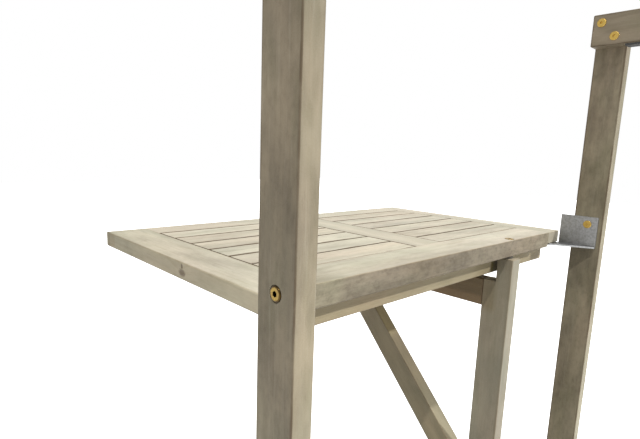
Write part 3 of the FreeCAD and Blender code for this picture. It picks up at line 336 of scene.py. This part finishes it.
def zinc(name):
    t = Tree(name)
    p = t.coords()
    n1 = t.noise(p, 260.0, 4.0, 0.6)
    n2 = t.noise(t.join(*[t.math("MULTIPLY", c, s) for c, s in zip(t.split(p), (1.0, 0.2, 1.0))]), 900.0, 2.0, 0.5)
    col = t.mix(t.remap(n1, 0.35, 0.7, 0.0, 1.0), (0.33, 0.335, 0.34), (0.22, 0.22, 0.215))
    t.link(col, t.bsdf.inputs["Base Color"])
    t.bsdf.inputs["Metallic"].default_value = 1.0
    t.link(t.remap(n2, 0.3, 0.7, 0.30, 0.50), t.bsdf.inputs["Roughness"])
    t.link(t.bump(n2, 0.2, 0.00006), t.bsdf.inputs["Normal"])
    return t.mat


def rubber(name, col=(0.035, 0.035, 0.034)):
    t = Tree(name)
    p = t.coords()
    n1 = t.noise(p, 700.0, 3.0, 0.6)
    t.link(t.mix(t.remap(n1, 0.35, 0.7, 0.0, 1.0), col, tuple(c * 1.6 for c in col)), t.bsdf.inputs["Base Color"])
    t.link(t.remap(n1, 0.3, 0.7, 0.66, 0.86), t.bsdf.inputs["Roughness"])
    t.link(t.bump(n1, 0.4, 0.00012), t.bsdf.inputs["Normal"])
    return t.mat


def give(node, mat):
    me = N[node].data
    if not me.materials:
        me.materials.append(mat)
    for i in range(len(me.materials)):
        me.materials[i] = mat


# ------------------------------------------------------------------ finishes, node by node
TOP = (0.405, 0.364, 0.278)
POSTC = (0.290, 0.243, 0.168)
GATEC = (0.300, 0.255, 0.180)
UNDER = (0.33, 0.275, 0.180)
RAW = (0.20, 0.145, 0.085)
GAP_DIRT_AND_SHADE = (0.10, 0.062, 0.034)      # sides of the slats, seen only through the open joints: dirt and painted shade of the deep joints
SIDE_DIRT_AND_SHADE = (0.24, 0.17, 0.115)      # sides that face into a joint: the wash is thin there and dirt collects, and the colour also carries painted shade of the joint
# the brace lies askew in the Y-Z plane: middle, direction along it, direction across it, half length, half width
BRACE = ((0.0009, -0.3069), (0.6841, 0.7294), (0.7294, -0.6841), 0.300, 0.0235)

seed = 1
for side in ("left", "right"):
    for k in range(1, 7):
        n = "slat_%s_%d" % (side, k)
        f = (1.0 + 0.035 * math.sin(seed * 2.4)) * ((1.09 if k == 1 else 1.03) if side == "right" else 1.0)
        pinkish = 0.014 * math.sin(seed * 1.7)
        a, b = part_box(n)
        # dirt and painted shade along the joints, darkest where a slat meets the end rail or the cross rail
        m = [((None, None, None), (a[0] + 0.0032, None, None), (0.46, 0.38, 0.30) if side == "left" else (0.62, 0.56, 0.46), 0.0014),
             ((b[0] - 0.0024, None, None), (None, None, None), (0.62, 0.55, 0.46), 0.0012)]
        if side == "left":
            m.append(((-0.2300, None, None), (None, None, None), (1.12, 1.12, 1.12), 0.1400, (2, 1)))
        # painted shade and dirt: a dark line along the near joint of the first right slat
        if side == "right" and k == 1:
            m.append(((None, None, None), (None, a[1] + 0.0014, None), (0.62, 0.58, 0.48), 0.0010))
        give(n, wood("wood_" + n, n, "x", seed, tuple(c * f for c in TOP), raw=RAW, contrast=1.1, wear=0.95,
                     tint=(pinkish, -pinkish * 0.6), streak=1.45, arris=0.0018, arris_tone=0.55, marks=m, speck=[(2, 1, 0.24)],
                     faces=[(1, -1, GAP_DIRT_AND_SHADE), (1, 1, GAP_DIRT_AND_SHADE), (0, -1, GAP_DIRT_AND_SHADE), (0, 1, GAP_DIRT_AND_SHADE)]))
        seed += 1
# the end face (-X) is lightened to match the light it gets (painted light); the inner face and a line along the joint
# with the slats are darkened (dirt and painted shade)
give("end_rail_left", wood("wood_end_rail_left", "end_rail_left", "y", 21, TOP, raw=RAW, contrast=1.0, wear=0.35,
                           knots=[(-0.350, -0.0400, -0.0128, 0.0056, (1.0, 0.60, 1.05)),
                                  (-0.350, -0.0396, -0.0052, 0.0022, (1.0, 0.80, 0.55))], knot_mix=0.95, speck=[(2, 1, 0.22), (0, -1, 0.16)],
                           faces=[(0, -1, (1.22, 1.185, 1.09)), (0, 1, tuple(c * 0.7 for c in SIDE_DIRT_AND_SHADE))], streak=0.8, blotch=1.3,
                           marks=[((None, 0.1905, None), (-0.3485, None, None), (0.74, 0.71, 0.63)),
                                  ((-0.2912, None, None), (None, None, None), (0.60, 0.52, 0.42), 0.0010),
                                  ((None, 0.1700, None), (None, 0.1935, None), (0.93, 0.88, 0.82), 0.004, (0, -1)),
                                  ((None, -0.2000, None), (None, None, None), (0.80, 0.81, 0.79), 0.200, (0, -1)),
                                  ((None, 0.0, None), (None, None, None), (0.90, 0.91, 0.89), 0.150, (0, -1)),
                                  ((None, -0.1200, None), (None, None, None), (0.88, 0.90, 0.87), 0.250, (2, 1))]))
give("end_rail_right", wood("wood_end_rail_right", "end_rail_right", "y", 22, TOP, raw=RAW, contrast=0.8, wear=0.35, streak=0.7,
                            blotch=1.2, faces=[(0, -1, SIDE_DIRT_AND_SHADE)]))
# the top darkens towards the post at the left end: painted shade of the post
give("near_rail", wood("wood_near_rail", "near_rail", "x", 23, TOP, raw=RAW, contrast=1.0, wear=0.35,
                       faces=[(1, -1, (0.60, 0.57, 0.53)), (1, 1, SIDE_DIRT_AND_SHADE)], speck=[(1, -1, 0.85), (2, 1, 0.20)], streak=0.9, blotch=1.3,
                       marks=[((None, None, None), (-0.234, None, None), (1.22, 1.28, 1.24), 0.024, (1, -1)),
                              ((-0.160, None, None), (-0.010, None, None), (0.84, 0.82, 0.78), 0.060, (1, -1)),
                              ((0.130, None, None), (None, None, None), (1.12, 1.11, 1.12), 0.120, (1, -1)),
                              ((None, None, None), (-0.220, None, None), (0.77, 0.75, 0.70), 0.060, (2, 1)),
                              ((None, None, None), (0.060, None, None), (0.93, 0.94, 0.92), 0.120, (2, 1)),
                              ((0.020, None, None), (None, None, None), (1.05, 1.05, 1.07), 0.120, (2, 1))]))
give("far_rail", wood("wood_far_rail", "far_rail", "x", 24, TOP, raw=RAW, contrast=0.8, wear=0.35, streak=0.8, faces=[(1, -1, SIDE_DIRT_AND_SHADE)]))
give("cross_rail", wood("wood_cross_rail", "cross_rail", "y", 25, tuple(c * f for c, f in zip(TOP, (0.925, 0.950, 0.935))), raw=RAW, contrast=1.0, wear=0.6, streak=1.0,
                        faces=[(0, -1, SIDE_DIRT_AND_SHADE), (0, 1, SIDE_DIRT_AND_SHADE)]))
# the -X faces are darkened and the -Y faces lightened to match the light they get: painted shade and painted light
for i, n in enumerate(("post_left", "post_right", "hook_tongue_left", "hook_tongue_right")):
    give(n, wood("wood_" + n, n, "z", 31 + i, POSTC, raw=RAW, contrast=0.9, wear=0.95, blotch=2.3, glints=0.05, arris=0.0026,
                 arris_tone=0.62, streak=0.75, edge_faces=[(1, -1, 0.12)],
                 faces=[(0, -1, (0.86, 0.855, 0.83)), (1, -1, (1.17, 1.19, 1.17))], speck=[(0, -1, 0.40)],
                 marks=[((None, None, -0.42), (None, None, 0.20), (0.90, 0.90, 0.88), 0.12, (0, -1)),
                        ((None, None, -0.02), (None, None, None), (0.90, 0.895, 0.91), 0.12, (1, -1)),
                        ((None, None, None), (None, None, -0.06), (1.09, 1.11, 1.14), 0.15, (1, -1))]))
for i, n in enumerate(("hook_arm_left", "hook_arm_right")):
    give(n, wood("wood_" + n, n, "y", 37 + i, POSTC, raw=RAW, contrast=0.9, wear=0.8, blotch=2.0, glints=0.05, arris=0.0026,
                 arris_tone=0.62, streak=0.75))
# the -X face is darkened and the -Y face lightened and made bluer to match the light they get: painted shade and
# painted light
give("gate_leg", wood("wood_gate_leg", "gate_leg", "z", 41, GATEC, raw=RAW, contrast=0.9, wear=0.45, blotch=1.5,
                      arris_tone=0.9, faces=[(0, -1, (0.87, 0.90, 0.90)), (1, -1, (1.13, 1.21, 1.30))],
                      marks=[((None, -0.1900, -0.135), (None, None, None), (0.90, 0.82, 0.70), 0.016, (0, -1)),
                             ((None, None, None), (None, -0.2010, None), (0.93, 0.92, 0.89), 0.005, (0, -1))]))
# painted shade on the upper part of the arm under the apron, painted light on its lower edge
give("gate_arm", wood("wood_gate_arm", "gate_arm", "y", 42, (0.184, 0.124, 0.054), raw=(0.11, 0.065, 0.028), contrast=1.6, wear=0.5, streak=1.8,
                      marks=[((None, None, -0.112), (None, None, None), (0.80, 0.77, 0.73), 0.010),
                             ((None, None, None), (None, None, -0.101), (1.40, 1.31, 1.31), 0.009)]))
# painted shadow of the leg on the apron: a near-black strip behind the leg and a dimmer stretch to its left
give("apron_near", wood("wood_apron_near", "apron_near", "x", 44, (0.42, 0.345, 0.215), raw=RAW, contrast=0.9, wear=0.4,
                        marks=[((0.1420, None, None), (0.1880, None, None), (0.33, 0.30, 0.09), 0.0060, (1, -1)),
                               ((0.0850, None, None), (0.1500, None, None), (0.90, 0.91, 0.88), 0.0200, (1, -1))]))
give("apron_far", wood("wood_apron_far", "apron_far", "x", 45, UNDER, raw=RAW, contrast=0.8, wear=0.5))
for i, n in enumerate(("batten_left", "batten_middle", "batten_right")):
    give(n, wood("wood_" + n, n, "y", 46 + i, UNDER, raw=RAW, contrast=0.8, wear=0.4))
give("lower_rail", wood("wood_lower_rail", "lower_rail", "x", 50, GATEC, raw=RAW, contrast=0.8, wear=0.7))
for i, n in enumerate(("gate_rest_block", "gate_stop_block")):
    give(n, wood("wood_" + n, n, "x" if i == 0 else "z", 52 + i, UNDER, raw=RAW, contrast=0.7, wear=0.5))
# painted light on the upward face of the brace: lighter above z = -0.246 and towards its lower end
give("gate_brace", wood("wood_gate_brace", "gate_brace", "y", 43, (0.256, 0.210, 0.124), raw=RAW, contrast=0.9, wear=0.45, blotch=1.5, frame_of=BRACE,
                        marks=[((None, None, -0.246), (None, None, None), (1.66, 1.64, 1.44), 0.024, (2, 1)),
                               ((None, None, None), (None, None, -0.300), (1.10, 1.14, 1.24), 0.080, (2, 1))]))
DOWEL = (0.52, 0.39, 0.23)
give("gate_dowels", wood("wood_gate_dowels", "gate_dowels", "y", 60, DOWEL, contrast=0.4, wear=0.0))
give("lower_rail_dowels", wood("wood_lower_rail_dowels", "lower_rail_dowels", "x", 61, DOWEL, contrast=0.4, wear=0.0))


def centre(node):
    lo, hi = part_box(node)
    return [(a + b) / 2 for a, b in zip(lo, hi)]


for n, nm, ai, sign, tone, rim_tarnish_and_shade in (("table_bolt_left", "brass_table_bolt_left", 0, -1, 1.0, 0.92), ("table_bolt_right", "brass_table_bolt_right", 0, 1, 1.0, 0.92),
                              ("gate_pivot_bolt_top", "brass_pivot_top", 2, 1, 1.55, 0.45), ("gate_pivot_bolt_bottom", "brass_pivot_bottom", 2, -1, 1.7, 0.6)):
    lo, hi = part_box(n)
    o = [i for i in range(3) if i != ai]
    give(n, brass(nm, [(ai, sign, hi[ai] if sign > 0 else lo[ai], centre(n), (hi[o[0]] - lo[o[0]]) / 2)], tone, rim_tarnish_and_shade))
plain_brass = brass("brass_plain", tone=2.1)
for n in ("hook_bolts", "hook_cap_nuts", "table_bolt_screws", "lower_rail_bolts", "gate_bush_top", "gate_bush_bottom"):
    give(n, plain_brass)
z = zinc("zinc_plate")
for n in ("table_bracket_left", "table_bracket_right", "bracket_screws", "underframe_screws", "lower_rail_barrel_nuts"):
    give(n, z)
give("hook_pads", rubber("rubber_hook_pads"))
give("post_pads", rubber("rubber_post_pads"))
nyl = rubber("nylon_spacers", (0.10, 0.09, 0.075))
give("gate_spacer_top", nyl)
give("gate_spacer_bottom", nyl)

# ------------------------------------------------------------------ stage, light, camera
sc = bpy.context.scene
FLOOR_Z = -1.0
AMBIENT = 0.52
me = bpy.data.meshes.new("floor")
R = 14.0
me.from_pydata([(-R, -R, FLOOR_Z), (R, -R, FLOOR_Z), (R, R, FLOOR_Z), (-R, R, FLOOR_Z)], [], [(0, 1, 2, 3)])
floor = bpy.data.objects.new("floor", me)
sc.collection.objects.link(floor)
fm = Tree("floor_pale")
fm.bsdf.inputs["Base Color"].default_value = (0.93, 0.93, 0.925, 1.0)
fm.bsdf.inputs["Roughness"].default_value = 0.9
fm.bsdf.inputs["Emission Color"].default_value = (1.0, 1.0, 1.0, 1.0)
fm.bsdf.inputs["Emission Strength"].default_value = 0.55
me.materials.append(fm.mat)
floor.visible_diffuse = False

world = bpy.data.worlds.new("studio")
sc.world = world
world.use_nodes = True
wn, wl = world.node_tree.nodes, world.node_tree.links
bg = wn["Background"]
bg.inputs[0].default_value = (1.0, 1.0, 1.0, 1.0)
lp = wn.new("ShaderNodeLightPath")
mr = wn.new("ShaderNodeMapRange")
mr.inputs["To Min"].default_value = 1.0
mr.inputs["To Max"].default_value = AMBIENT
wl.new(lp.outputs["Is Diffuse Ray"], mr.inputs["Value"])
wl.new(mr.outputs["Result"], bg.inputs[1])


def sun(name, toward, level, angle, colour=(1.0, 1.0, 1.0)):
    """A distant soft light.  toward: direction from the object to the light; level: light on a facing surface."""
    d = bpy.data.lights.new(name, "SUN")
    d.energy = level * math.pi
    d.angle = math.radians(angle)
    d.color = colour
    o = bpy.data.objects.new(name, d)
    sc.collection.objects.link(o)
    o.rotation_euler = Vector(toward).to_track_quat("Z", "Y").to_euler()
    return o


front = sun("front", (0.300, -0.745, 0.611), 0.60, 1.4)
high = sun("high_left", (-0.29, -0.338, 0.885), 0.70, 1.4)
sun("back_fill", (0.62, 0.45, 0.64), 0.18, 30.0)

# the two lamps stand below the hooks: neither the hooks nor the right post come between them and the table
ABOVE = ("hook_arm_left", "hook_arm_right", "hook_tongue_left", "hook_tongue_right", "hook_pads", "hook_bolts", "hook_cap_nuts", "post_right")
for lamp in (front, high):
    clear = bpy.data.collections.new("clear_of_" + lamp.name)
    for n in ABOVE:
        clear.objects.link(N[n])
    lamp.light_linking.blocker_collection = clear
    for co in clear.collection_objects:
        co.light_linking.link_state = "EXCLUDE"

cam_d = bpy.data.cameras.new("camera")
cam = bpy.data.objects.new("camera", cam_d)
sc.collection.objects.link(cam)
UNIT = 0.0486
C = Vector((-5.26855, -7.07500, 2.76813)) * UNIT - Vector((0.350, 0.201, 0.0))
right = Vector((0.73082, -0.68164, 0.03563)).normalized()
up = Vector((0.08808, 0.14594, 0.98536))
up = (up - right * up.dot(right)).normalized()
back = right.cross(up)
cam.matrix_world = Matrix(((right.x, up.x, back.x, C.x), (right.y, up.y, back.y, C.y), (right.z, up.z, back.z, C.z), (0, 0, 0, 1)))
cam_d.sensor_fit = "HORIZONTAL"
cam_d.sensor_width = 36.0
cam_d.lens = 476.285 / 640.0 * 36.0
cam_d.shift_x = 0.0
cam_d.shift_y = (231.126 - 219.5) / 640.0
cam_d.clip_start = 0.01
cam_d.clip_end = 60.0
sc.camera = cam

sc.view_settings.view_transform = "Standard"
sc.view_settings.look = "None"
sc.view_settings.exposure = 0.0
sc.view_settings.gamma = 1.0
